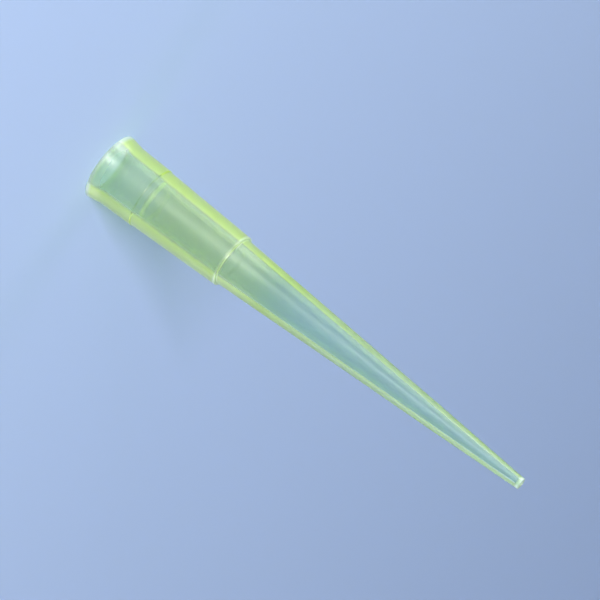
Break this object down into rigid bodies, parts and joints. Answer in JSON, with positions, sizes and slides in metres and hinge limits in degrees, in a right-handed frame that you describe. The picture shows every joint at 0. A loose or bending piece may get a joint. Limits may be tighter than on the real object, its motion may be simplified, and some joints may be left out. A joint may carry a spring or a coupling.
{
  "type": "pipette tip",
  "caption": "Slim hollow cone in translucent yellow plastic, with a flared mouth that pushes onto a pipette, a ledged collar and a fine orifice.",
  "frame": {"origin": "centre of the mouth's rim plane, where the tip stands", "axes": "+Z along the bore from the mouth to the fine end"},
  "size_m": [0.0072, 0.0072, 0.051],
  "materials": {
    "yellow_polypropylene": "translucent, as moulded, satin gloss"
  },
  "bodies": {
    "root": {"pipette_tip": "yellow_polypropylene"}
  },
  "joints": []
}
